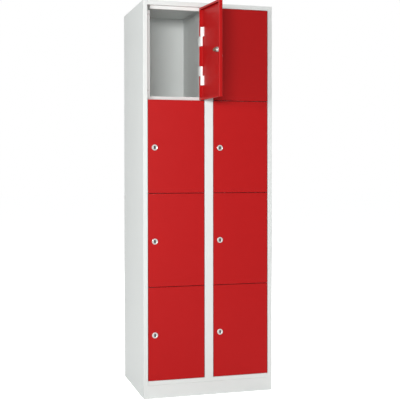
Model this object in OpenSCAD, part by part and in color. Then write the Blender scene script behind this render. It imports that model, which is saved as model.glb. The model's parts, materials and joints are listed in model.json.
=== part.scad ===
// Steel compartment locker: a welded sheet-metal cabinet with two columns of lockable doors.
// Millimetres, +Z up, front faces -Y, origin on the floor in the middle of the footprint.

/* [Cabinet] */
// Overall width
cabinet_w = 610; // [560:5:700]
// Overall depth of the body
cabinet_d = 500; // [400:5:600]
// Height from the floor to the top
cabinet_h = 1800; // [1500:10:2000]
// Compartments in each of the two columns
rows = 4; // [2:1:4]
// Thickness of the body sheet
sheet = 0.8; // [0.7:0.1:1.2]
// Outside radius of the body's bends
bend_r = 1.8; // [1.5:0.1:2.5]

/* [Front frame] */
// Width of the stile lip at each side
stile_w = 20; // [18:1:30]
// Width of the centre post
post_w = 40; // [34:1:50]
// Height of the top rail
rail_h = 20; // [16:1:30]
// Height of the bottom sill, between the plinth and the doors
sill_h = 20; // [16:1:30]
// Depth from the front face to the ledge that the doors close on
rebate_d = 21; // [20:0.5:25]
// Width of that ledge, which the doors overlap
ledge_w = 15; // [14:0.5:18]
// Depth of the stiffening return behind the ledge
return_d = 20; // [16:1:28]
// How far the notch at the top of the left ledge reaches below the top rail's ledge
notch_drop = 8; // [3:0.5:10]

/* [Inside] */
// Height of the folded edges at the sides and back of the shelves, floor and top
edge_h = 15; // [10:1:20]
// Width of the flange at the back of each side panel
rear_flange = 18; // [12:1:30]
// Width of the folded strip under the front of each shelf
shelf_hem = 12; // [8:1:20]

/* [Plinth] */
// Height of the plinth
plinth_h = 60; // [50:1:120]
// Set-back of the plinth from the faces of the body
plinth_inset = 0.5; // [0:0.1:5]
// Width of its folded top and bottom flanges
plinth_flange = 20; // [15:1:30]
// Thickness of the plinth sheet
plinth_sheet = 1.5; // [1:0.1:2]

/* [Doors] */
// Thickness of the door sheet
door_sheet = 1; // [0.8:0.1:1.2]
// Outside radius of the door's bends
door_bend = 2.5; // [2:0.1:3]
// Gap at the lock side of a door
door_gap = 2; // [1.5:0.1:3]
// Gap between two doors of a column
row_gap = 2; // [1.5:0.1:4]
// Width of the lip that is folded in at the back of the door
door_lip = 10; // [8:0.5:14]
// Angle at which the top left door stands open
open_angle = 95; // [0:1:100]

/* [Hinges] */
// Height of a hinge, both halves together
hinge_h = 86; // [60:1:90]
// Distance from the door's top edge to its upper hinge
hinge_high = 89; // [60:1:100]
// Distance from the door's bottom edge to its lower hinge
hinge_low = 68; // [60:1:100]
// Outside radius of the knuckles
knuckle_r = 6; // [5.5:0.1:6.4]
// Thickness of the hinge leaves
leaf_t = 3; // [2.5:0.1:3.2]
// Radius of the hinge pin
pin_r = 3; // [2.5:0.1:3.5]
// Width of the leaf that is welded to the door
door_leaf_w = 16; // [14:1:32]

/* [Locks] */
// Distance from the door's free edge to the lock
lock_inset = 30; // [28:0.5:36]
// Height of the middle of the door above the lock
lock_drop = 5; // [0:1:30]
// Radius of the lock's round head
head_r = 13.5; // [13:0.1:15]
// Height of the head above the door
head_t = 2.6; // [2:0.1:4]
// Radius of the threaded barrel
barrel_r = 11; // [10.5:0.1:12]
// Radius of the turning plug
plug_r = 9; // [8.5:0.1:9.5]
// Thickness of the cam
cam_t = 2; // [1.5:0.1:3]
// Width of the cam's arm
cam_w = 12; // [10:0.5:14]
// Length of the cam's arm behind the ledge when it is locked
cam_catch = 9; // [6:0.5:12]

/* [Door buffers] */
// Height of a rubber buffer, which fills the space behind a closed door
buffer_h = 5; // [3.5:0.1:5.5]
// Radius of a buffer
buffer_r = 4; // [3:0.1:5]
// Distance from the end of the door to its buffer
buffer_inset = 40; // [25:1:60]

/* [Hidden] */
bend_steps = 5;      // flat facets in one bend
fit_gap = 0.2;       // assembly gap of sheet parts
hinge_clear = 0.5;   // between a fixed knuckle and the door
hinge_play = 0.4;    // between the two knuckles of a hinge
pin_fit = 0.02;      // radial, pin in the frame's knuckle
pin_run = 0.05;      // radial, pin in the door's knuckle
pin_end = 1;         // how far the pin stops short of the knuckle's end
lock_run = 0.05;     // radial, plug in the barrel
barrel_fit = 0.2;    // radial, barrel in the door's hole
nut_t = 4;           // lock nut
nut_r = 14;          // lock nut, across corners
cam_play = 1.4;      // between the ledge's sheet and the cam
shoulder_l = 3;      // plug behind the barrel, in front of the cam
tang_w = 8;          // square end of the plug
tang_fit = 0.05;     // between the tang and the cam's hole
screw_r = 2;         // cam screw
screw_l = 8;
screw_fit = 0.05;
washer_gap = 0.02;   // between the cam and the washer behind it
washer_r = 7;
washer_t = 1.2;
screw_head_r = 4.5;
screw_head_t = 3;
key_pocket = [7.5, 15, 1.5]; // oval recess of the key opening: width, height, depth
key_slot = [2.2, 10, 12];    // slot for the key: width, height, depth
buffer_play = 0.3;   // between a buffer and the closed door
slot_margin = 2;     // around the cam in its slot
notch_margin = 1.5;  // above and below a hinge in the door's notch
round_fn = 64;

SIDES = ["left", "right"];

// Planes of the cabinet
wall_x = cabinet_w/2;
front_y = -cabinet_d/2;
body_top = cabinet_h - sheet;                // under the top sheet
door_top = cabinet_h - rail_h;               // edge of the top rail
door_bottom = plinth_h + sill_h;             // edge of the sill
pitch = (door_top - door_bottom)/rows;
floor_z = door_bottom + ledge_w;             // surface of the lowest compartments' floor
column_w = (cabinet_w - 2*stile_w - post_w)/2;
ledge_back = rebate_d + return_d;            // depth at which the frame's returns end
back_face = cabinet_d - 2*sheet;             // depth of the back panel's inner face

// Hinge axis, from the edge of the opening and from the front face
hinge_in = ledge_w + leaf_t - knuckle_r;
hinge_back = door_sheet + hinge_clear + knuckle_r;
// The gap at the hinge side lets the door's rounded edge swing past the edge of the frame
swing_r = hinge_in - hinge_clear - door_bend;
hinge_gap = hinge_in - door_bend - sqrt(pow(swing_r, 2) - pow(hinge_back - door_bend, 2));
hinge_half = (hinge_h - hinge_play)/2;

// Doors
door_t = rebate_d - buffer_h;
door_w = column_w - door_gap - hinge_gap;
door_h = pitch - row_gap;
lock_z = door_h/2 - lock_drop;

// Locks, depths counted from the front of the door
cam_y = rebate_d + sheet + cam_play;
barrel_end = cam_y - shoulder_l;
cam_span = door_gap + lock_inset - ledge_w;  // from the lock's axis to the edge of the ledge
cam_reach = cam_span + cam_catch;

function column_x(c) = c == 0 ? -wall_x + stile_w : post_w/2;
function hinge_x(c) = column_x(c) + column_w - hinge_in;
function row_z(r) = door_top - r*pitch;      // line between compartment r and the next one down
function door_z(r) = row_z(r) + row_gap/2;
function inner_x(c) = c == 0 ? [-wall_x + sheet, -sheet] : [sheet, wall_x - sheet];

// Points along an arc from angle a0 to a1
function arc(centre, r, a0, a1) =
  [for (k = [0:bend_steps]) let (a = a0 + (a1 - a0)*k/bend_steps) centre + r*[cos(a), sin(a)]];

// A folded sheet in section. The path is the sheet's own right-hand face, with sharp corners;
// the sheet lies to the left of it, and each bend has the outside radius r.
function unit(v) = v/norm(v);
function left_of(v) = [-v.y, v.x];
function turned(v, a) = [v.x*cos(a) - v.y*sin(a), v.x*sin(a) + v.y*cos(a)];
function bend(p0, p1, p2, t, r, face) =
  let (d1 = unit(p1 - p0), d2 = unit(p2 - p1), a = atan2(cross(d1, d2), d1*d2), s = sign(a),
       path_r = s > 0 ? r : r - t,
       centre = p1 - d1*path_r*tan(abs(a)/2) + s*left_of(d1)*path_r)
  [for (k = [0:bend_steps]) centre + (path_r - s*face*t)*turned(-s*left_of(d1), a*k/bend_steps)];
function face_points(path, t, r, face) =
  let (n = len(path), first = unit(path[1] - path[0]), last = unit(path[n - 1] - path[n - 2]))
  concat([path[0] + face*t*left_of(first)],
         [for (i = [1:1:n - 2]) each bend(path[i - 1], path[i], path[i + 1], t, r, face)],
         [path[n - 1] + face*t*left_of(last)]);
function reversed(list) = [for (i = [len(list) - 1:-1:0]) list[i]];

module folded(path, t = sheet, r = bend_r)
  polygon(concat(face_points(path, t, r, 0), reversed(face_points(path, t, r, 1))));

// Section in X and Y, drawn up Z; section in Y and Z, drawn along X
module along_z(z0, z1) translate([0, 0, z0]) linear_extrude(z1 - z0) children();
module along_x(x0, x1) translate([x0, 0, 0]) rotate([90, 0, 90]) linear_extrude(x1 - x0) children();
module block(low, high) translate(low) cube(high - low);
// Solid of revolution about +Y from a section in radius and depth
module turned_part(section) rotate([-90, 0, 0]) rotate_extrude($fn = round_fn) polygon(section);
module rod(r, y0, y1) translate([0, y0, 0]) rotate([-90, 0, 0]) cylinder(r = r, h = y1 - y0, $fn = round_fn);
// Everything below is drawn with depths counted from the front face of the cabinet
module from_front() translate([0, front_y, 0]) children();

module grey_paint() color([0.84, 0.86, 0.85]) children();
module red_paint() color([0.72, 0.10, 0.11]) children();
module zinc() color([0.86, 0.87, 0.88]) children();
module chrome() color([0.78, 0.79, 0.81]) children();
module rubber() color([0.80, 0.81, 0.80]) children();

// Side panel: side wall, stile lip, rebate, ledge, stiffening return and rear flange in one sheet
module side_panel() from_front() along_z(plinth_h, body_top)
  translate([-wall_x, 0]) folded([
    [rear_flange, cabinet_d], [0, cabinet_d], [0, 0], [stile_w, 0], [stile_w, rebate_d],
    [stile_w + ledge_w, rebate_d], [stile_w + ledge_w, ledge_back]]);

// Slots that let the cams of column c turn in behind the ledge
module cam_slots(c) {
  down = sqrt(pow(cam_reach, 2) + pow(cam_w/2, 2) - pow(cam_span, 2)) + slot_margin;
  x = column_x(c) + ledge_w;
  from_front() for (r = [1:rows]) let (z = door_z(r) + lock_z)
    block([x - bend_r, rebate_d + sheet + slot_margin/4, z - down],
          [x + sheet, cam_y + cam_t + slot_margin, z + cam_w/2 + slot_margin]);
}

// Notch that ends the left ledge of the left column below the corner with the top rail
module ledge_notch() from_front() translate([column_x(0), 0, 0])
  block([-sheet - fit_gap, rebate_d - bend_r, door_top - ledge_w - notch_drop],
        [ledge_w + fit_gap, ledge_back + fit_gap, cabinet_h]);

module side_left() grey_paint() difference() { side_panel(); cam_slots(0); ledge_notch(); }
module side_right() grey_paint() mirror([1, 0, 0]) side_panel();

// Hat-shaped post between the columns
module centre_post() grey_paint() difference() {
  from_front() along_z(door_bottom, door_top) folded([
    [-post_w/2 - ledge_w, ledge_back], [-post_w/2 - ledge_w, rebate_d], [-post_w/2, rebate_d],
    [-post_w/2, 0], [post_w/2, 0], [post_w/2, rebate_d],
    [post_w/2 + ledge_w, rebate_d], [post_w/2 + ledge_w, ledge_back]]);
  cam_slots(1);
}

// One skin of the double wall between the columns, with a front flange that closes the post
module partition_skin() from_front() along_z(floor_z, body_top) folded([
  [-sheet - edge_h, back_face - sheet], [-sheet, back_face - sheet],
  [-sheet, ledge_back + sheet], [-post_w/2 - ledge_w + fit_gap, ledge_back + sheet]]);
module partition_left() grey_paint() partition_skin();
module partition_right() grey_paint() mirror([1, 0, 0]) partition_skin();

// Back sheet, against the rear flanges of the side panels and clear of their bends
module back_panel() grey_paint() from_front()
  block([-wall_x + bend_r, back_face, plinth_h], [wall_x - bend_r, back_face + sheet, body_top]);

// Doorway of column c between the frame's returns
module in_doorway(c) along_x(column_x(c) + ledge_w + fit_gap, column_x(c) + column_w - ledge_w - fit_gap)
  children();

// Flat sheet at height z behind the frame, with its edges folded down at the sides and back and
// its rear corners notched round the bends of the walls
module tray(x0, x1, z) {
  y0 = ledge_back + bend_r + fit_gap;
  y1 = back_face - sheet - fit_gap;
  block([x0, y0, z - sheet], [x1, y1 - bend_r, z]);
  block([x0 + bend_r, y0, z - sheet], [x1 - bend_r, y1, z]);
  for (x = [x0, x1 - sheet]) block([x, y0, z - edge_h], [x + sheet, y1 - bend_r, z]);
  block([x0 + bend_r, y1 - sheet, z - edge_h], [x1 - bend_r, y1, z]);
}

// Front corner of a sheet at height z that closes the hollow of the left (0) or right (1) stile, so
// that nothing can be passed from one compartment to the next
module stile_corner(c, z) mirror([c, 0, 0]) translate([-wall_x, 0]) {
  block([bend_r, bend_r, z - sheet], [stile_w - sheet - fit_gap, ledge_back, z]);
  block([sheet, rebate_d + bend_r, z - sheet],
        [stile_w + ledge_w - sheet - fit_gap, ledge_back + bend_r + fit_gap, z]);
}

// Top: a cap sheet that lies on the walls, with the front rail folded from it between the stiles
module top_panel() grey_paint() from_front() {
  edge_z = door_top - ledge_w;
  along_x(-wall_x + stile_w, wall_x - stile_w)
    folded([[ledge_back, cabinet_h], [0, cabinet_h], [0, door_top], [rebate_d - bend_r, door_top]]);
  for (c = [0, 1]) in_doorway(c)
    folded([[rebate_d/2, door_top], [rebate_d, door_top], [rebate_d, edge_z], [rebate_d + shelf_hem, edge_z]]);
  block([-wall_x, bend_r, body_top], [wall_x, cabinet_d, cabinet_h]);
  for (x = [-wall_x, wall_x - stile_w]) block([x, 0, body_top], [x + stile_w, bend_r, cabinet_h]);
  for (c = [0, 1]) tray(inner_x(c)[0], inner_x(c)[1], cabinet_h);
}

// Floor of the lowest compartments, folded forward into the sill
module floor_panel() grey_paint() from_front() {
  along_x(-wall_x + stile_w, wall_x - stile_w)
    folded([[rebate_d - bend_r, door_bottom], [0, door_bottom], [0, plinth_h], [plinth_flange, plinth_h]]);
  for (c = [0, 1]) in_doorway(c)
    folded([[ledge_back + ledge_w, floor_z], [rebate_d, floor_z], [rebate_d, door_bottom],
            [rebate_d/2, door_bottom]]);
  tray(-wall_x + sheet, wall_x - sheet, floor_z);
  for (c = [0, 1]) stile_corner(c, floor_z);
}

// Shelf between compartments r and r + 1: its front edge is the ledge for the doors above and below
module shelf(c, r) grey_paint() from_front() {
  top = row_z(r) + ledge_w;
  low = row_z(r) - ledge_w;
  in_doorway(c)
    folded([[ledge_back + ledge_w, top], [rebate_d, top], [rebate_d, low], [rebate_d + shelf_hem, low]]);
  tray(inner_x(c)[0], inner_x(c)[1], top);
  stile_corner(c, top);
}

// Plinth: a welded ring of folded sheet that the body stands on
module plinth_ring(width, z0, z1) {
  x = wall_x - plinth_inset;
  y = cabinet_d/2 - plinth_inset;
  difference() {
    block([-x, -y, z0], [x, y, z1]);
    block([width - x, width - y, z0 - 1], [x - width, y - width, z1 + 1]);
  }
}
module plinth() grey_paint() {
  plinth_ring(plinth_sheet, 0, plinth_h);
  plinth_ring(plinth_flange, 0, plinth_sheet);
  plinth_ring(plinth_flange, plinth_h - plinth_sheet, plinth_h);
}

// Rubber buffers on the ledge at the lock side, two for each door
module door_buffers() rubber() from_front()
  for (c = [0, 1], r = [1:rows], z = [buffer_inset, door_h - buffer_inset])
    translate([column_x(c) + ledge_w/2, 0, door_z(r) + z])
      turned_part([[0, door_t + buffer_play], [buffer_r - 1, door_t + buffer_play],
                   [buffer_r - 0.4, door_t + buffer_play + 0.5], [buffer_r, rebate_d], [0, rebate_d]]);

// Hinges. A hinge has a lower and an upper half; the door's half is the upper one at the door's top
// and the lower one at its bottom, so that a door can't be lifted off its pins.
hinge_places = [[hinge_low, false], [door_h - hinge_high - hinge_h, true]];
function half_z(upper) = upper ? hinge_h - hinge_half : 0;

module knuckle(bore) linear_extrude(hinge_half) difference() {
  union() { circle(r = knuckle_r, $fn = round_fn); children(); }
  circle(r = bore, $fn = round_fn);
}

module frame_hinge_half() knuckle(pin_r + pin_fit) difference() {
  translate([-knuckle_r, 0]) square([leaf_t, ledge_back - hinge_back]);
  circle(r = knuckle_r - leaf_t/2, $fn = round_fn);
}

module door_hinge_half() knuckle(pin_r + pin_run) difference() {
  translate([-door_leaf_w, door_sheet - hinge_back]) square([door_leaf_w, leaf_t]);
  circle(r = knuckle_r - leaf_t/2, $fn = round_fn);
}

module frame_hinges(c) zinc() from_front() for (r = [1:rows], place = hinge_places)
  translate([hinge_x(c), hinge_back, door_z(r) + place[0] + half_z(!place[1])]) frame_hinge_half();
module frame_hinges_left() frame_hinges(0);
module frame_hinges_right() frame_hinges(1);

module hinge_pins() chrome() from_front() for (c = [0, 1], r = [1:rows], place = hinge_places)
  translate([hinge_x(c), hinge_back, door_z(r) + place[0] + pin_end])
    cylinder(r = pin_r, h = hinge_h - 2*pin_end, $fn = round_fn);

// What a door carries is drawn from the door's own corner: X from its free edge, Y back from its
// front, Z up from its bottom edge. The top left door is swung open about its hinges.
module on_door(c, r) {
  pivot = [hinge_x(c), front_y + hinge_back, 0];
  translate(pivot) rotate(c == 0 && r == 1 ? open_angle : 0) translate(-pivot)
    translate([column_x(c) + door_gap, front_y, door_z(r)]) children();
}

// Door pan: front sheet with rounded edges, four flanges, and lips folded in behind three of them
module pan_body(inset) {
  r = door_bend - inset;
  b = door_bend;
  intersection() {
    along_z(inset, door_h - inset) polygon(concat(
      arc([b, b], r, 180, 270), arc([door_w - b, b], r, 270, 360),
      [[door_w - inset, door_t - inset]], arc([b, door_t - b], r, 90, 180)));
    along_x(inset, door_w - inset) polygon(concat(
      arc([b, b], r, 180, 270), arc([door_t - b, b], r, 270, 360),
      arc([door_t - b, door_h - b], r, 0, 90), arc([b, door_h - b], r, 90, 180)));
  }
}

module door(c, r) red_paint() on_door(c, r) difference() {
  pan_body(0);
  pan_body(door_sheet);
  block([door_lip, door_t/2, door_lip], [door_w - door_sheet, door_t + 1, door_h - door_lip]);
  translate([lock_inset, 0, lock_z]) rod(barrel_r + barrel_fit, -1, door_t/2);
  // Notches in the hinge-side flange, where the frame's leaves pass it when the door is open
  for (place = hinge_places) let (z = place[0] + half_z(!place[1]))
    block([door_w - door_bend - 1, hinge_back - hinge_clear, z - notch_margin],
          [door_w + 1, door_t + 1, z + hinge_half + notch_margin]);
}

module door_hinges(c, r) zinc() on_door(c, r) for (place = hinge_places)
  translate([door_w + hinge_gap - hinge_in, hinge_back, place[0] + half_z(place[1])]) door_hinge_half();

// Lock housing: round head, threaded barrel and the nut that clamps the door sheet
module lock_housing(c, r) chrome() on_door(c, r) translate([lock_inset, 0, lock_z]) {
  bore = plug_r + lock_run;
  turned_part([[bore, 1 - head_t], [bore + 1, -head_t], [head_r - 1.6, -head_t], [head_r - 0.5, 0.5 - head_t],
               [head_r, 1.5 - head_t], [head_r, 0], [barrel_r, 0], [barrel_r, barrel_end], [bore, barrel_end]]);
  difference() {
    translate([0, door_sheet, 0]) rotate([-90, 0, 0]) cylinder(r = nut_r, h = nut_t, $fn = 6);
    rod(barrel_r + lock_run, 0, door_sheet + nut_t + 1);
  }
}

module oval(size) {
  square([size.x, size.y - size.x], center = true);
  for (s = [-1, 1]) translate([0, s*(size.y - size.x)/2]) circle(r = size.x/2, $fn = round_fn);
}

// Section in X and Z, drawn back from depth y0
module along_y(y0, length) translate([0, y0 + length, 0]) rotate([90, 0, 0]) linear_extrude(length) children();

// Plug: turns in the housing, with the oval key opening in front and the tang behind
module lock_plug(c, r) chrome() on_door(c, r) translate([lock_inset, 0, lock_z]) difference() {
  face = 0.6 - head_t;
  union() {
    rod(plug_r, face, barrel_end);
    rod(plug_r - 1, barrel_end - 1, cam_y);
    along_y(cam_y, cam_t) square(tang_w, center = true);
  }
  along_y(face - 1, key_pocket[2] + 1) oval(key_pocket);
  along_y(face, key_slot[2]) square([key_slot.x, key_slot.y], center = true);
  rod(screw_r + screw_fit, cam_y + cam_t - screw_l - screw_fit, cam_y + cam_t + 1);
}

// Cam and the screw that holds it on the tang; unlocked it points to the hinges
module lock_cam(c, r) zinc() on_door(c, r) translate([lock_inset, 0, lock_z]) {
  along_y(cam_y, cam_t) difference() {
    union() {
      circle(r = plug_r, $fn = round_fn);
      translate([0, -cam_w/2]) square([cam_reach - cam_w/2, cam_w]);
      translate([cam_reach - cam_w/2, 0]) circle(r = cam_w/2, $fn = round_fn);
    }
    square(tang_w + 2*tang_fit, center = true);
  }
  seat = cam_y + cam_t + washer_gap;
  rod(screw_r, seat - screw_l, seat + washer_t);
  rod(washer_r, seat, seat + washer_t);
  translate([0, seat + washer_t, 0]) rotate([-90, 0, 0]) cylinder(r = screw_head_r, h = screw_head_t, $fn = 6);
}

side_left();
side_right();
back_panel();
top_panel();
floor_panel();
centre_post();
partition_left();
partition_right();
plinth();
door_buffers();
hinge_pins();
frame_hinges_left();
frame_hinges_right();
for (c = [0, 1]) {
  for (r = [1:rows - 1]) shelf(c, r);
  for (r = [1:rows]) {
    place = str("_", SIDES[c], "_", r);
    door(c, r);
    door_hinges(c, r);
    lock_housing(c, r);
    lock_plug(c, r);
    lock_cam(c, r);
  }
}
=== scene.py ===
import json
import math
import bpy
import numpy as np
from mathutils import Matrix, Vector


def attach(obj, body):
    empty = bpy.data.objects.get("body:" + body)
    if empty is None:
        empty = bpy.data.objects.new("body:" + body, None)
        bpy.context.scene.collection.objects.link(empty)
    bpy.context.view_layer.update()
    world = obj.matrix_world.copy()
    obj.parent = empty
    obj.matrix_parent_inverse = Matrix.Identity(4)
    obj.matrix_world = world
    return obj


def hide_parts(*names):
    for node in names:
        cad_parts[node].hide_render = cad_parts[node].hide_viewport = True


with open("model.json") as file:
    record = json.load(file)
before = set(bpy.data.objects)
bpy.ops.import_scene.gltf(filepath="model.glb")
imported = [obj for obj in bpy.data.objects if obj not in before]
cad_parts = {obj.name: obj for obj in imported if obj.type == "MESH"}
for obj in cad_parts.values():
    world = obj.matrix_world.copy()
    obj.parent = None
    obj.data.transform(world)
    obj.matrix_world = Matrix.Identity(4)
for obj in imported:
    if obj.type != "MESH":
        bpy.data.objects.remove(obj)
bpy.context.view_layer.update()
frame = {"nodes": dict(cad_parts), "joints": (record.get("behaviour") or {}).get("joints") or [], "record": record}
nodes = frame["nodes"]
# The joints of the locks by the place of their door, such as left_1
lockJoints = {joint["name"][5:-5]: joint for joint in frame["joints"] if joint["name"].startswith("lock_")}
print("locker loaded:", len(nodes), "nodes,", len(lockJoints), "locks")


# Photo studio: camera, floor and light

studio = {
    "cameraPlace": (-1.1029, -4.3755, 1.0521),
    "cameraTurn": 17.819,        # degrees to the right of straight back
    "cameraTilt": 0.842,         # degrees below the horizon
    "lens": 83.5,
    "sensor": 36.0,
    "shift": (-0.138, -0.05),
    "clip": (0.05, 100.0),
    "worldColour": (0.985, 0.995, 1.0),
    "worldLight": 0.20,          # strength of the even light from all round
    "floorHalf": 30.0,
    "floorTone": 0.80,
    "floorGlow": 0.84,           # added to the lit floor for the camera, so that it comes out white
    "lampAim": (0.0, -0.25, 1.0),
    "keyPlace": (-3.5, -2.2, 1.6),       # from the left, level with the top doors
    "keySize": (0.8, 0.8),
    "keyPower": 68.0,                    # watts
    "frontPlace": (-1.5, -4.5, 1.7),     # into the open compartment, from above the gaps between doors
    "frontSize": (1.6, 0.5),
    "frontPower": 126.0,
    "backPlace": (2.2, 2.6, 3.8),        # for the back, the right side and the top
    "backSize": (1.6, 1.6),
    "backPower": 137.0,
}


def makeCamera():
    data = bpy.data.cameras.new("photoCamera")
    data.lens = studio["lens"]
    data.sensor_width = studio["sensor"]
    data.shift_x, data.shift_y = studio["shift"]
    data.clip_start, data.clip_end = studio["clip"]
    camera = bpy.data.objects.new("photoCamera", data)
    camera.location = studio["cameraPlace"]
    tilt, turn = math.radians(90 - studio["cameraTilt"]), math.radians(studio["cameraTurn"])
    camera.rotation_euler = (tilt, 0, -turn)
    bpy.context.scene.collection.objects.link(camera)
    bpy.context.scene.camera = camera


def makeLamp(name, place, aim, size, power):
    data = bpy.data.lights.new(name, "AREA")
    data.shape = "RECTANGLE"
    data.size, data.size_y = size
    data.energy = power
    lamp = bpy.data.objects.new(name, data)
    lamp.location = place
    lamp.rotation_euler = (Vector(aim) - Vector(place)).to_track_quat("-Z", "Y").to_euler()
    bpy.context.scene.collection.objects.link(lamp)


def seenDirectly(tree):
    # 1 for rays from the camera and for mirror and glass rays, 0 for those that light the object
    path = tree.nodes.new("ShaderNodeLightPath")
    seen = path.outputs["Is Camera Ray"]
    for kind in ("Is Glossy Ray", "Is Transmission Ray"):
        either = tree.nodes.new("ShaderNodeMath")
        either.operation = "MAXIMUM"
        tree.links.new(seen, either.inputs[0])
        tree.links.new(path.outputs[kind], either.inputs[1])
        seen = either.outputs[0]
    return seen


def makeWorld():
    world = bpy.data.worlds.new("studioWorld")
    world.use_nodes = True
    tree = world.node_tree
    tree.nodes.clear()
    light = tree.nodes.new("ShaderNodeBackground")
    light.inputs["Color"].default_value = studio["worldColour"] + (1,)
    light.inputs["Strength"].default_value = studio["worldLight"]
    white = tree.nodes.new("ShaderNodeBackground")
    white.inputs["Color"].default_value = (1, 1, 1, 1)
    white.inputs["Strength"].default_value = 1.0
    mix = tree.nodes.new("ShaderNodeMixShader")
    output = tree.nodes.new("ShaderNodeOutputWorld")
    tree.links.new(seenDirectly(tree), mix.inputs["Fac"])
    tree.links.new(light.outputs[0], mix.inputs[1])
    tree.links.new(white.outputs[0], mix.inputs[2])
    tree.links.new(mix.outputs[0], output.inputs["Surface"])
    bpy.context.scene.world = world


def makeFloor():
    half = studio["floorHalf"]
    corners = [(-half, -half, 0), (half, -half, 0), (half, half, 0), (-half, half, 0)]
    mesh = bpy.data.meshes.new("studioFloor")
    mesh.from_pydata(corners, [], [(0, 1, 2, 3)])
    floor = bpy.data.objects.new("studioFloor", mesh)
    bpy.context.scene.collection.objects.link(floor)
    material = bpy.data.materials.new("paleFloor")
    material.use_nodes = True
    tree = material.node_tree
    tree.nodes.clear()
    matt = tree.nodes.new("ShaderNodeBsdfDiffuse")
    tone = studio["floorTone"]
    matt.inputs["Color"].default_value = (tone, tone, tone, 1)
    glow = tree.nodes.new("ShaderNodeEmission")
    glow.inputs["Color"].default_value = (1, 1, 1, 1)
    strength = tree.nodes.new("ShaderNodeMath")
    strength.operation = "MULTIPLY"
    strength.inputs[1].default_value = studio["floorGlow"]
    tree.links.new(seenDirectly(tree), strength.inputs[0])
    tree.links.new(strength.outputs[0], glow.inputs["Strength"])
    both = tree.nodes.new("ShaderNodeAddShader")
    output = tree.nodes.new("ShaderNodeOutputMaterial")
    tree.links.new(matt.outputs[0], both.inputs[0])
    tree.links.new(glow.outputs[0], both.inputs[1])
    tree.links.new(both.outputs[0], output.inputs["Surface"])
    mesh.materials.append(material)


bpy.context.scene.view_settings.view_transform = "Standard"
makeCamera()
makeWorld()
makeFloor()
for lamp in ("key", "front", "back"):
    makeLamp(lamp + "Light", studio[lamp + "Place"], studio["lampAim"],
             studio[lamp + "Size"], studio[lamp + "Power"])
print("studio ready")


# Effects that several finishes share

def newGroup(name, inputs, outputs):
    group = bpy.data.node_groups.new(name, "ShaderNodeTree")
    for label, kind, value in inputs:
        socket = group.interface.new_socket(label, in_out="INPUT", socket_type=kind)
        socket.default_value = value
    for label, kind in outputs:
        group.interface.new_socket(label, in_out="OUTPUT", socket_type=kind)
    return group, group.nodes.new("NodeGroupInput"), group.nodes.new("NodeGroupOutput")


def addNode(tree, kind, settings=None, values=None, links=None):
    # settings are the node's own properties, values its unlinked sockets, links the sockets it takes in
    node = tree.nodes.new(kind)
    for key, value in (settings or {}).items():
        setattr(node, key, value)
    for key, value in (values or {}).items():
        node.inputs[key].default_value = value
    for key, source in (links or {}).items():
        tree.links.new(source, node.inputs[key])
    return node


def mathNode(tree, operation, first, second=None, third=None):
    node = tree.nodes.new("ShaderNodeMath")
    node.operation = operation
    for index, value in enumerate((first, second, third)):
        if value is None:
            continue
        if isinstance(value, (int, float)):
            node.inputs[index].default_value = value
        else:
            tree.links.new(value, node.inputs[index])
    return node.outputs[0]


def noiseNode(tree, place, scale, detail=2.0, roughness=0.5):
    links = {"Vector": place}
    values = {"Detail": detail, "Roughness": roughness}
    if isinstance(scale, (int, float)):
        values["Scale"] = scale
    else:
        links["Scale"] = scale
    return addNode(tree, "ShaderNodeTexNoise", None, values, links).outputs["Fac"]


def rangeNode(tree, value, fromLow, fromHigh, toLow, toHigh, smooth=False):
    settings = {"interpolation_type": "SMOOTHSTEP"} if smooth else {}
    limits = {1: fromLow, 2: fromHigh, 3: toLow, 4: toHigh}
    return addNode(tree, "ShaderNodeMapRange", settings, limits, {0: value}).outputs[0]


def aroundHalf(tree, noise, spread, middle):
    # Turns a noise about one half into a swing about the middle value
    return mathNode(tree, "MULTIPLY_ADD", mathNode(tree, "SUBTRACT", noise, 0.5), spread, middle)


fleckSpread = 0.035          # how far the finest grain of a coat swings its colour


def makePowderCoat():
    # Baked powder coat: fine orange peel, a faintly cloudy colour and patches of more or less gloss
    group, start, end = newGroup("powderCoat",
        [("Paint", "NodeSocketColor", (0.8, 0.8, 0.8, 1)), ("Cloudiness", "NodeSocketFloat", 0.03),
         ("Roughness", "NodeSocketFloat", 0.4), ("Roughness Spread", "NodeSocketFloat", 0.08),
         ("Peel Scale", "NodeSocketFloat", 420.0)],
        [("Color", "NodeSocketColor"), ("Roughness", "NodeSocketFloat"), ("Height", "NodeSocketFloat")])
    place = addNode(group, "ShaderNodeTexCoord").outputs["Object"]
    cloud = noiseNode(group, place, 2.6, 3.0, 0.55)
    fleck = noiseNode(group, place, 900.0, 1.0)
    swing = aroundHalf(group, cloud, start.outputs["Cloudiness"], 1.0)
    grain = aroundHalf(group, fleck, fleckSpread, swing)
    shaded = addNode(group, "ShaderNodeVectorMath", {"operation": "SCALE"}, None,
                     {0: start.outputs["Paint"], "Scale": grain})
    patch = noiseNode(group, place, 9.0, 2.0)
    rough = aroundHalf(group, patch, start.outputs["Roughness Spread"], start.outputs["Roughness"])
    peel = noiseNode(group, place, start.outputs["Peel Scale"], 2.0, 0.45)
    swell = noiseNode(group, place, 60.0, 1.0)
    height = mathNode(group, "MULTIPLY_ADD", swell, 0.5, peel)
    group.links.new(shaded.outputs[0], end.inputs["Color"])
    group.links.new(rough, end.inputs["Roughness"])
    group.links.new(height, end.inputs["Height"])
    return group


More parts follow.
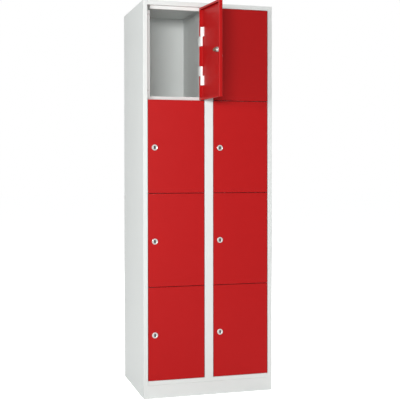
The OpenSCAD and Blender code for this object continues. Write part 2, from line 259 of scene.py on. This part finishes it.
def makeHandling():
    # Where hands, cloths and bags have touched: soft smears, stretched sideways, as a mask from 0 to 1
    group, start, end = newGroup("handlingMarks",
        [("Amount", "NodeSocketFloat", 0.5), ("Size", "NodeSocketFloat", 14.0)],
        [("Mask", "NodeSocketFloat")])
    place = addNode(group, "ShaderNodeTexCoord").outputs["Object"]
    smear = addNode(group, "ShaderNodeMapping", None,
                    {"Scale": (0.55, 0.55, 1.5), "Rotation": (0, 0.35, 0)}, {"Vector": place})
    wide = noiseNode(group, smear.outputs[0], start.outputs["Size"], 4.0, 0.62)
    mask = rangeNode(group, wide, 0.55, 0.72, 0.0, 1.0, True)
    group.links.new(mathNode(group, "MULTIPLY", mask, start.outputs["Amount"]), end.inputs["Mask"])
    return group


def makeDust():
    # Fine dust that lies on faces which look up: a mask from how steep the face is, broken up by noise
    group, start, end = newGroup("settledDust",
        [("Amount", "NodeSocketFloat", 0.3)], [("Mask", "NodeSocketFloat")])
    texture = addNode(group, "ShaderNodeTexCoord")
    up = addNode(group, "ShaderNodeSeparateXYZ", None, None, {0: texture.outputs["Normal"]}).outputs["Z"]
    flat = rangeNode(group, up, 0.75, 0.98, 0.0, 1.0, True)
    clumps = noiseNode(group, texture.outputs["Object"], 17.0, 5.0, 0.6)
    broken = rangeNode(group, clumps, 0.35, 0.7, 0.35, 1.0)
    lying = mathNode(group, "MULTIPLY", flat, broken)
    group.links.new(mathNode(group, "MULTIPLY", lying, start.outputs["Amount"]), end.inputs["Mask"])
    return group


def makeBrushing():
    # Fine parallel lines, from noise that is stretched along one direction of the piece
    group, start, end = newGroup("brushedLines",
        [("Place", "NodeSocketVector", (0, 0, 0)), ("Stretch", "NodeSocketVector", (1, 1, 40)),
         ("Scale", "NodeSocketFloat", 60.0)],
        [("Lines", "NodeSocketFloat"), ("Blotches", "NodeSocketFloat")])
    pulled = addNode(group, "ShaderNodeVectorMath", {"operation": "MULTIPLY"}, None,
                     {0: start.outputs["Place"], 1: start.outputs["Stretch"]})
    lines = noiseNode(group, pulled.outputs[0], start.outputs["Scale"], 3.0, 0.6)
    blotches = noiseNode(group, start.outputs["Place"], 180.0, 2.0)
    group.links.new(lines, end.inputs["Lines"])
    group.links.new(blotches, end.inputs["Blotches"])
    return group


powderCoat = makePowderCoat()
handlingMarks = makeHandling()
settledDust = makeDust()
brushedLines = makeBrushing()


# Finishes

bodyPaint = {"colour": (0.705, 0.730, 0.715), "cloudiness": 0.035, "roughness": 0.46, "spread": 0.10,
             "peel": 420.0, "bump": 0.10, "marks": 0.35, "dust": 0.25}
doorPaint = {"colour": (0.420, 0.0056, 0.0062), "cloudiness": 0.05, "roughness": 0.42, "spread": 0.10,
             "peel": 380.0, "bump": 0.10, "marks": 0.5, "dust": 0.10}
hingePaint = {"colour": (0.86, 0.87, 0.86), "cloudiness": 0.02, "roughness": 0.34, "spread": 0.08,
              "peel": 700.0, "bump": 0.05, "marks": 0.2, "dust": 0.1}
wear = {
    "keptColour": 0.72,          # share of its colour that a handled or tarnished place keeps
    "markStrength": 0.10,        # of the handling marks, on the colour
    "markGloss": -0.10,          # of the handling marks, on the roughness
    "dustColour": (0.60, 0.585, 0.56),
    "dustRoughness": 0.4,
    "brushGloss": (-0.06, 0.10),         # least and most that brushed lines add to the roughness
}
relief = {"coat": 0.0004, "brush": 0.0001, "lathe": 0.0001, "rubber": 0.0002}     # metres
nickelColours = {"bright": (0.52, 0.515, 0.50), "dull": (0.34, 0.33, 0.31)}
rubberColours = {"clean": (0.62, 0.62, 0.60), "dirty": (0.40, 0.39, 0.37)}
# near-black of the key insert, partly painted shade of the plug's recess; rubbed grey where the key wears it
insertAndShadeColours = {"new": (0.010, 0.010, 0.009), "rubbed": (0.040, 0.038, 0.034)}


def newMaterial(name):
    material = bpy.data.materials.new(name)
    material.use_nodes = True
    return material, material.node_tree, material.node_tree.nodes["Principled BSDF"]


def worn(colour):
    return tuple(wear["keptColour"]*part for part in colour)


def bumpNode(tree, height, strength, depth):
    # depth is how far the relief stands out at full height
    values = {"Strength": strength, "Distance": depth}
    return addNode(tree, "ShaderNodeBump", None, values, {"Height": height}).outputs[0]


def mixNode(tree, mask, first, second):
    mix = tree.nodes.new("ShaderNodeMix")
    mix.data_type = "RGBA"
    tree.links.new(mask, mix.inputs[0])
    for socket, value in ((mix.inputs[6], first), (mix.inputs[7], second)):
        if isinstance(value, tuple):
            socket.default_value = value + (1,)
        else:
            tree.links.new(value, socket)
    return mix.outputs[2]


def paintMaterial(name, paint, specular):
    material, tree, shader = newMaterial(name)
    coat = addNode(tree, "ShaderNodeGroup", {"node_tree": powderCoat}, {
        "Paint": paint["colour"] + (1,), "Cloudiness": paint["cloudiness"], "Roughness": paint["roughness"],
        "Roughness Spread": paint["spread"], "Peel Scale": paint["peel"]})
    marks = addNode(tree, "ShaderNodeGroup", {"node_tree": handlingMarks}, {"Amount": paint["marks"]})
    dust = addNode(tree, "ShaderNodeGroup", {"node_tree": settledDust}, {"Amount": paint["dust"]})
    touched = mathNode(tree, "MULTIPLY", marks.outputs[0], wear["markStrength"])
    handled = mixNode(tree, touched, coat.outputs["Color"], worn(paint["colour"]))
    dusty = mixNode(tree, dust.outputs[0], handled, wear["dustColour"])
    glossier = mathNode(tree, "MULTIPLY_ADD", marks.outputs[0], wear["markGloss"], coat.outputs["Roughness"])
    duller = mathNode(tree, "MULTIPLY_ADD", dust.outputs[0], wear["dustRoughness"], glossier)
    bump = bumpNode(tree, coat.outputs["Height"], paint["bump"], relief["coat"])
    tree.links.new(dusty, shader.inputs["Base Color"])
    tree.links.new(duller, shader.inputs["Roughness"])
    tree.links.new(bump, shader.inputs["Normal"])
    shader.inputs["Specular IOR Level"].default_value = specular
    return material


def metalMaterial(name, colour, roughness, stretch, scale, tarnish):
    material, tree, shader = newMaterial(name)
    place = addNode(tree, "ShaderNodeTexCoord").outputs["Object"]
    brushing = addNode(tree, "ShaderNodeGroup", {"node_tree": brushedLines},
                       {"Stretch": stretch, "Scale": scale}, {"Place": place})
    dull = rangeNode(tree, brushing.outputs["Blotches"], 0.4, 0.75, 0.0, 1.0, True)
    mask = mathNode(tree, "MULTIPLY", dull, tarnish)
    least, most = wear["brushGloss"]
    rough = rangeNode(tree, brushing.outputs["Lines"], 0.2, 0.8, roughness + least, roughness + most)
    tree.links.new(mixNode(tree, mask, colour, worn(colour)), shader.inputs["Base Color"])
    tree.links.new(rough, shader.inputs["Roughness"])
    tree.links.new(bumpNode(tree, brushing.outputs["Lines"], 0.15, relief["brush"]), shader.inputs["Normal"])
    shader.inputs["Metallic"].default_value = 1.0
    return material


def latheNickel():
    # Nickel plate over turned brass: the tool's rings follow the piece's own map along its profile
    material, tree, shader = newMaterial("latheNickel")
    texture = addNode(tree, "ShaderNodeTexCoord")
    rings = addNode(tree, "ShaderNodeMapping", None, {"Scale": (0.6, 26.0, 1)},
                    {"Vector": texture.outputs["UV"]})
    lines = noiseNode(tree, rings.outputs[0], 6.0, 3.0, 0.6)
    patches = noiseNode(tree, texture.outputs["Object"], 240.0, 3.0)
    spots = rangeNode(tree, patches, 0.5, 0.8, 0.0, 0.35, True)
    colour = mixNode(tree, spots, nickelColours["bright"], nickelColours["dull"])
    tree.links.new(colour, shader.inputs["Base Color"])
    tree.links.new(rangeNode(tree, lines, 0.25, 0.75, 0.20, 0.38), shader.inputs["Roughness"])
    tree.links.new(bumpNode(tree, lines, 0.2, relief["lathe"]), shader.inputs["Normal"])
    shader.inputs["Metallic"].default_value = 1.0
    return material


def rubberMaterial():
    material, tree, shader = newMaterial("paleRubber")
    place = addNode(tree, "ShaderNodeTexCoord").outputs["Object"]
    dirt = rangeNode(tree, noiseNode(tree, place, 350.0, 4.0, 0.6), 0.45, 0.8, 0.0, 0.5, True)
    colour = mixNode(tree, dirt, rubberColours["clean"], rubberColours["dirty"])
    tree.links.new(colour, shader.inputs["Base Color"])
    tree.links.new(rangeNode(tree, dirt, 0.0, 0.5, 0.68, 0.85), shader.inputs["Roughness"])
    grain = noiseNode(tree, place, 1400.0, 2.0)
    tree.links.new(bumpNode(tree, grain, 0.2, relief["rubber"]), shader.inputs["Normal"])
    return material


def insertMaterial():
    # Black moulded plastic round the key slit, rubbed grey by the key; its near-black also stands as painted shade
    # of the plug's recess
    material, tree, shader = newMaterial("blackInsertWithPaintedShade")
    place = addNode(tree, "ShaderNodeTexCoord").outputs["Object"]
    rubbed = rangeNode(tree, noiseNode(tree, place, 420.0, 4.0, 0.65), 0.5, 0.75, 0.0, 0.5, True)
    colour = mixNode(tree, rubbed, insertAndShadeColours["new"], insertAndShadeColours["rubbed"])
    tree.links.new(colour, shader.inputs["Base Color"])
    tree.links.new(rangeNode(tree, rubbed, 0.0, 0.5, 0.38, 0.6), shader.inputs["Roughness"])
    shader.inputs["Specular IOR Level"].default_value = 0.12
    return material


finishes = {
    "body_paint": paintMaterial("greyPowderCoat", bodyPaint, 0.12),
    "door_paint": paintMaterial("redPowderCoat", doorPaint, 0.16),
    "hinge_steel": paintMaterial("hingeEnamel", hingePaint, 0.5),
    "pin_steel": metalMaterial("drawnPinSteel", (0.66, 0.67, 0.68), 0.24, (1, 1, 0.06), 900.0, 0.3),
    "lock_nickel": metalMaterial("plugNickel", (0.48, 0.475, 0.46), 0.28, (1, 0.3, 1), 700.0, 0.35),
    # zinc plate for the cam, its colour darkened partly as painted shade where it sits
    "cam_steel": metalMaterial("zincPlateWithPaintedShade", (0.34, 0.30, 0.22), 0.40, (1, 1, 0.15), 500.0, 0.5),
    "buffer_rubber": rubberMaterial(),
}
nickel = latheNickel()
blackInsertWithPaintedShade = insertMaterial()
print("finishes ready:", len(bpy.data.materials))


# Sheet parts keep their shape and get soft bends

softEdges = {"joinWithin": 0.000002, "sheetAngle": 35, "lockAngle": 38}     # metres, degrees, degrees


def makeSoftBends():
    # Joins the loose faces of a CAD node and shades its bends as one curve, with the true edges kept crisp
    group = bpy.data.node_groups.new("softBends", "GeometryNodeTree")
    group.interface.new_socket("Geometry", in_out="INPUT", socket_type="NodeSocketGeometry")
    group.interface.new_socket("Geometry", in_out="OUTPUT", socket_type="NodeSocketGeometry")
    start, end = group.nodes.new("NodeGroupInput"), group.nodes.new("NodeGroupOutput")
    joined = addNode(group, "GeometryNodeMergeByDistance", None, {"Distance": softEdges["joinWithin"]},
                     {"Geometry": start.outputs[0]})
    smooth = addNode(group, "GeometryNodeSetShadeSmooth", {"domain": "FACE"}, {"Shade Smooth": True},
                     {"Geometry": joined.outputs[0]})
    angle = addNode(group, "GeometryNodeInputMeshEdgeAngle")
    sharp = addNode(group, "FunctionNodeCompare", {"data_type": "FLOAT", "operation": "GREATER_THAN"},
                    {1: math.radians(softEdges["sheetAngle"])}, {0: angle.outputs["Unsigned Angle"]})
    crisp = addNode(group, "GeometryNodeSetShadeSmooth", {"domain": "EDGE"}, {"Shade Smooth": False},
                    {"Geometry": smooth.outputs[0], "Selection": sharp.outputs[0]})
    group.links.new(crisp.outputs[0], end.inputs[0])
    return group


softBends = makeSoftBends()
slots = {part["node"]: part["material_slot"] for part in frame["record"]["subparts"]}
for name, node in nodes.items():
    node.data.materials.clear()
    node.data.materials.append(finishes[slots[name]])
    bends = node.modifiers.new("softBends", "NODES")
    bends.node_group = softBends
    weighted = node.modifiers.new("evenShading", "WEIGHTED_NORMAL")
    weighted.keep_sharp = True
print("CAD nodes dressed:", len(nodes))


# Locks: round head, threaded barrel and clamping nut, with a black insert round the key slit whose near-black is
# partly painted shade of the plug's recess

lockHousing = {          # millimetres; depths are counted from the front of the door
    "steps": 72, "bore": 9.05, "boreBevel": (1.0, 0.35),    # the bevel's width, the middle of its curve
    "headRadius": 13.5, "headHeight": 2.6, "headRound": 1.6, "headSquash": 0.9, "headSteps": 8,
    "headFlat": 0.2, "backBevel": 0.05,                     # flat ring beside the round, edge on the door
    "barrelRadius": 11.0, "barrelEnd": 20.2, "endBevel": 0.7, "endBore": 0.2,
    "threadPitch": 1.5, "threadDepth": 0.55, "threadStart": 6.2, "threadRows": 76, "threadMargin": 0.1,
    "threadFade": (1.0, 0.8),                               # over which the thread grows and runs out
    "nutStart": 1.0, "nutHeight": 4.0, "nutCorner": 14.0, "nutBore": 11.05, "nutBevel": 0.15,
    "nutRows": (0, 0.25, 0.5, 0.75, 1.0, 1.15),             # depths from each of its faces
    "mapLength": 10.0, "nutMapRows": 20,                    # that make one unit of the map
}
keyInsert = {            # millimetres; an oval plate at the bottom of the plug's recess
    "steps": 64, "width": 7.3, "height": 14.8, "back": -0.52, "front": -1.9,
    "round": 0.35, "roundMiddle": 0.3,                      # the second is a share of the first
    "slitWidth": 2.2, "slitHeight": 10.0, "slitBottom": -0.62, "slitRest": 0.02, "mapRows": 10,
}


def ringFaces(around, along):
    # Quads of a grid that closes on itself both ways: point (i, j) has the index i*along + j
    i, j = np.meshgrid(np.arange(around), np.arange(along), indexing="ij")
    nextI, nextJ = (i + 1) % around, (j + 1) % along
    quads = np.stack([i*along + j, nextI*along + j, nextI*along + nextJ, i*along + nextJ], -1)
    return quads.reshape(-1, 4)


def outward(points, faces):
    # Turns all faces round if the closed surface's volume, summed over its triangles, comes out negative
    a, b, c, d = (points[faces[:, k]] for k in range(4))
    volume = np.einsum("ij,ij->i", a, np.cross(b, c)).sum() + np.einsum("ij,ij->i", a, np.cross(c, d)).sum()
    return faces if volume > 0 else faces[:, ::-1]


def headAndBarrel():
    # One profile of radius and depth turned about the lock's axis: bore, rounded head, flat, threaded
    # barrel. The thread is a cosine of depth/pitch minus the turn, so that it climbs one pitch a turn
    size = lockHousing
    bore, head, barrel = size["bore"], size["headRadius"], size["barrelRadius"]
    face, flat = -size["headHeight"], size["headRadius"] - size["headRound"]
    start, end, margin = size["threadStart"], size["barrelEnd"], size["threadMargin"]
    bevel, middle = size["boreBevel"]
    growing, runningOut = size["threadFade"]
    turn = np.linspace(0, 2*np.pi, size["steps"], endpoint=False)
    bend = np.linspace(0, np.pi/2, size["headSteps"])
    roundR = flat + size["headRound"]*np.sin(bend)
    roundY = face + size["headRound"]*size["headSquash"]*(1 - np.cos(bend))
    threadY = np.linspace(start, end - margin, size["threadRows"])
    profile = np.concatenate([
        [[bore, face + bevel], [bore + middle, face + middle], [bore + bevel, face],
         [flat - size["headFlat"], face]],
        np.stack([roundR, roundY], -1),
        [[head, -size["backBevel"]], [head - size["backBevel"], 0], [barrel, 0], [barrel, start - margin]],
        np.stack([np.full_like(threadY, barrel), threadY], -1),
        [[barrel - size["endBevel"], end], [bore + size["endBore"], end], [bore, end - size["endBore"]]]])
    radius = np.repeat(profile[None, :, 0], len(turn), 0)
    depth = np.repeat(profile[None, :, 1], len(turn), 0)
    wave = 0.5 - 0.5*np.cos(2*np.pi*(depth/size["threadPitch"] - turn[:, None]/(2*np.pi)))
    threaded = (depth >= start) & (depth < end - margin/2) & (radius > bore + bevel)
    fade = np.clip((depth - start)/growing, 0, 1)*np.clip((end - depth)/runningOut, 0, 1)
    radius = np.where(threaded, radius - size["threadDepth"]*wave*fade, radius)
    points = np.stack([radius*np.cos(turn)[:, None], depth, radius*np.sin(turn)[:, None]], -1)
    length = np.concatenate([[0], np.cumsum(np.linalg.norm(np.diff(profile, axis=0), axis=1))])
    return points.reshape(-1, 3), ringFaces(len(turn), len(profile)), len(turn), length/size["mapLength"]


def clampingNut():
    # A hexagon whose radius is apothem/cos(turn within its side), bevelled by a cone at both faces that
    # lies 30 degrees off them
    size = lockHousing
    turn = np.linspace(0, 2*np.pi, size["steps"], endpoint=False)
    apothem = size["nutCorner"]*math.cos(math.pi/6)
    side = apothem/np.cos(np.mod(turn, np.pi/3) - np.pi/6)
    inFromFace = np.array(size["nutRows"])
    depth = np.concatenate([inFromFace, size["nutHeight"] - inFromFace[::-1]])
    cone = apothem - size["nutBevel"] + np.minimum(depth, size["nutHeight"] - depth)*math.sqrt(3)
    outer = np.minimum(side[:, None], cone[None, :])
    bore = np.full((len(turn), 2), size["nutBore"])
    radius = np.concatenate([outer, bore], 1)
    depths = np.concatenate([depth, [size["nutHeight"], 0]]) + size["nutStart"]
    points = np.stack([radius*np.cos(turn)[:, None], np.repeat(depths[None, :], len(turn), 0),
                       radius*np.sin(turn)[:, None]], -1)
    heights = np.arange(len(depths))/size["nutMapRows"]
    return points.reshape(-1, 3), ringFaces(len(turn), len(depths)), len(turn), heights


def ovalLoop(width, height, steps):
    # Outline with straight sides and round ends: a point goes round a circle whose two halves stand apart
    turn = np.linspace(0, 2*np.pi, steps, endpoint=False) + np.pi/steps
    apart = np.sign(np.sin(turn))*(height - width)/2
    return np.stack([width/2*np.cos(turn), width/2*np.sin(turn) + apart], -1)


def ovalLoops(width, height, rows, steps):
    # One loop for each row (how much larger the oval is all round, depth)
    return [np.insert(ovalLoop(width + 2*larger, height + 2*larger, steps), 1, depth, 1)
            for larger, depth in rows]


def insertPlate():
    # Loops from the plate's back edge round its front into the slit and over its bottom to a point
    # behind it, joined into one closed ring
    size = keyInsert
    steps, edge, front, back = size["steps"], size["round"], size["front"], size["back"]
    middle = size["roundMiddle"]*edge
    plateRows = [(0, back), (0, front + edge), (-middle, front + middle), (-edge, front)]
    closed = size["slitRest"] - size["slitWidth"]/2
    slitRows = [(edge, front), (0, front + edge), (0, size["slitBottom"]), (closed, size["slitBottom"]),
                (closed, back)]
    loops = ovalLoops(size["width"], size["height"], plateRows, steps)
    loops += ovalLoops(size["slitWidth"], size["slitHeight"], slitRows, steps)
    points = np.stack(loops, 1)
    return points.reshape(-1, 3), ringFaces(steps, len(loops)), steps, np.arange(len(loops))/size["mapRows"]


def placeAtLock(points, joint):
    # From the lock's own axes (side, depth into the door, up) in millimetres to the room in metres
    centre, inward = np.array(joint["pos_m"]), np.array(joint["axis"])
    up = np.array([0.0, 0.0, 1.0])
    side = np.cross(inward, up)
    return centre + (points*0.001) @ np.stack([side, inward, up])


def addPiece(name, parts, joint, material, body):
    # Each part is (points, faces, steps around, map heights along), and the map's first axis goes round
    mesh = bpy.data.meshes.new(name)
    allPoints, allFaces, allMaps, count = [], [], [], 0
    for points, faces, around, heights in parts:
        points = placeAtLock(points, joint)
        faces = outward(points, faces)
        turn, row = faces // len(heights), faces % len(heights)
        turn = np.where((turn == 0) & (turn.max(1, keepdims=True) == around - 1), around, turn)
        row = np.where((row == 0) & (row.max(1, keepdims=True) == len(heights) - 1), len(heights) - 1, row)
        allMaps.append(np.stack([turn/around, heights[row]], -1).reshape(-1, 2))
        allPoints.append(points)
        allFaces.append(faces + count)
        count += len(points)
    mesh.from_pydata(np.concatenate(allPoints).tolist(), [], np.concatenate(allFaces).tolist())
    mapping = mesh.uv_layers.new(name="latheMap")
    mapping.data.foreach_set("uv", np.concatenate(allMaps).astype(np.float32).ravel())
    mesh.shade_smooth()
    mesh.set_sharp_from_angle(angle=math.radians(softEdges["lockAngle"]))
    mesh.materials.append(material)
    mesh.validate()
    piece = bpy.data.objects.new(name, mesh)
    bpy.context.scene.collection.objects.link(piece)
    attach(piece, body)
    return piece


for place, joint in lockJoints.items():
    housing = addPiece("lockHousing_" + place, [headAndBarrel(), clampingNut()], joint, nickel,
                       "door_" + place)
    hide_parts("lock_housing_" + place)
    addPiece("keyInsert_" + place, [insertPlate()], joint, blackInsertWithPaintedShade, "lock_" + place)
print("locks fitted:", len(lockJoints))
